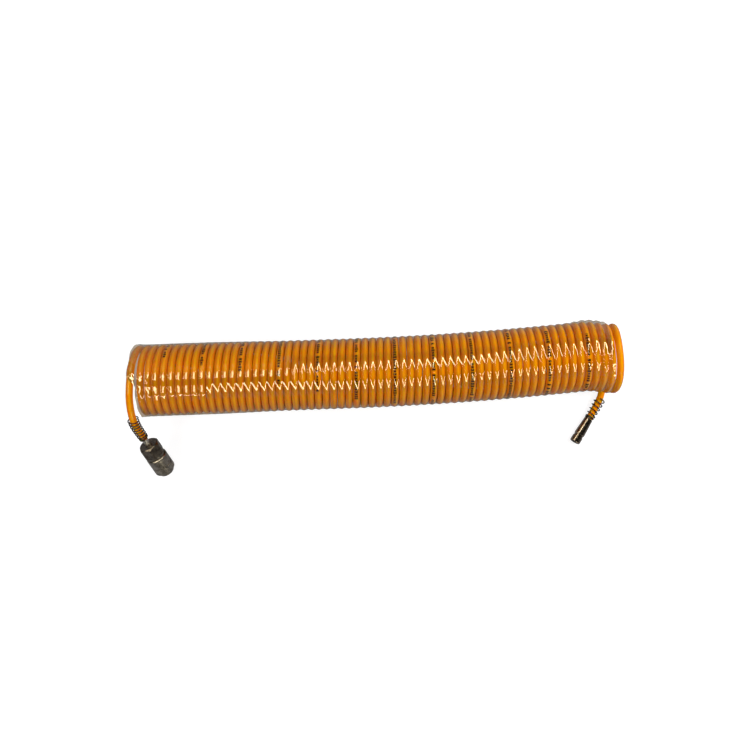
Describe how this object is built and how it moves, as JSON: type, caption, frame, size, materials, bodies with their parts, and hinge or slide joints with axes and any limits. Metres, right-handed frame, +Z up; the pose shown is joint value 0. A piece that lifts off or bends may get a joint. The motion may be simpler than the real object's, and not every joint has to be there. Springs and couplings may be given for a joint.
{
  "type": "coiled air hose",
  "caption": "Recoil air hose: an amber polyurethane coil in a clear film sleeve, with a quick coupling socket on one tail and its plug on the other.",
  "frame": {"origin": "on the floor, in the middle of the film's flat underside, below the middle of the coil", "axes": "+X along the coil from the socket's end to the plug's end, +Y away from the couplings, +Z up"},
  "size_m": [0.5555, 0.1613, 0.081],
  "materials": {
    "hose": "glossy translucent amber polyurethane",
    "film": "clear glossy packing film",
    "guard_wire": "dull drawn steel wire",
    "socket_metal": "dark satin nickel",
    "sleeve_metal": "dark satin nickel with a fluted grip",
    "spring_steel": "bright spring steel",
    "valve_brass": "turned brass",
    "seal_rubber": "black nitrile rubber",
    "plug_steel": "polished nickel plate",
    "ball_steel": "polished ball steel"
  },
  "bodies": {
    "hose": {"hose_coil": "hose", "hose_tail_socket": "hose", "hose_tail_plug": "hose", "film_sleeve": "film", "guard_spring_socket": "guard_wire", "guard_spring_plug": "guard_wire", "socket_hex_stem": "socket_metal", "socket_body": "socket_metal", "sleeve_stop_ring": "spring_steel", "sleeve_spring": "spring_steel", "valve_spring": "spring_steel", "plug_packing": "seal_rubber", "plug": "plug_steel"},
    "sleeve": {"socket_sleeve": "sleeve_metal"},
    "valve": {"valve_poppet": "valve_brass", "valve_seal": "seal_rubber"},
    "ball_1": {"lock_ball_1": "ball_steel"},
    "ball_2": {"lock_ball_2": "ball_steel"},
    "ball_3": {"lock_ball_3": "ball_steel"},
    "ball_4": {"lock_ball_4": "ball_steel"},
    "ball_5": {"lock_ball_5": "ball_steel"},
    "ball_6": {"lock_ball_6": "ball_steel"}
  },
  "joints": [
    {"name": "sleeve_slide", "type": "slide", "parent": "hose", "child": "sleeve", "axis": [-0.3137, 0.6607, 0.682], "range_m": [0, 0.003], "stiffness_N_per_m": 1500, "springref_m": -0.003, "deforming": ["sleeve_spring"]},
    {"name": "valve_slide", "type": "slide", "parent": "hose", "child": "valve", "axis": [-0.3137, 0.6607, 0.682], "range_m": [0, 0.004], "stiffness_N_per_m": 500, "springref_m": -0.004, "deforming": ["valve_spring"]},
    {"name": "ball_1_slide", "type": "slide", "parent": "hose", "child": "ball_1", "axis": [-0.1983, -0.748, 0.6334], "range_m": [0, 0.0006]},
    {"name": "ball_2_slide", "type": "slide", "parent": "hose", "child": "ball_2", "axis": [-0.9033, -0.4289, 0], "range_m": [0, 0.0006]},
    {"name": "ball_3_slide", "type": "slide", "parent": "hose", "child": "ball_3", "axis": [-0.705, 0.3191, -0.6334], "range_m": [0, 0.0006]},
    {"name": "ball_4_slide", "type": "slide", "parent": "hose", "child": "ball_4", "axis": [0.1983, 0.748, -0.6334], "range_m": [0, 0.0006]},
    {"name": "ball_5_slide", "type": "slide", "parent": "hose", "child": "ball_5", "axis": [0.9033, 0.4289, 0], "range_m": [0, 0.0006]},
    {"name": "ball_6_slide", "type": "slide", "parent": "hose", "child": "ball_6", "axis": [0.705, -0.3191, 0.6334], "range_m": [0, 0.0006]}
  ],
  "couplings": [
    {"joint": "ball_1_slide", "follows": "sleeve_slide", "ratio": 0.2},
    {"joint": "ball_2_slide", "follows": "sleeve_slide", "ratio": 0.2},
    {"joint": "ball_3_slide", "follows": "sleeve_slide", "ratio": 0.2},
    {"joint": "ball_4_slide", "follows": "sleeve_slide", "ratio": 0.2},
    {"joint": "ball_5_slide", "follows": "sleeve_slide", "ratio": 0.2},
    {"joint": "ball_6_slide", "follows": "sleeve_slide", "ratio": 0.2}
  ]
}
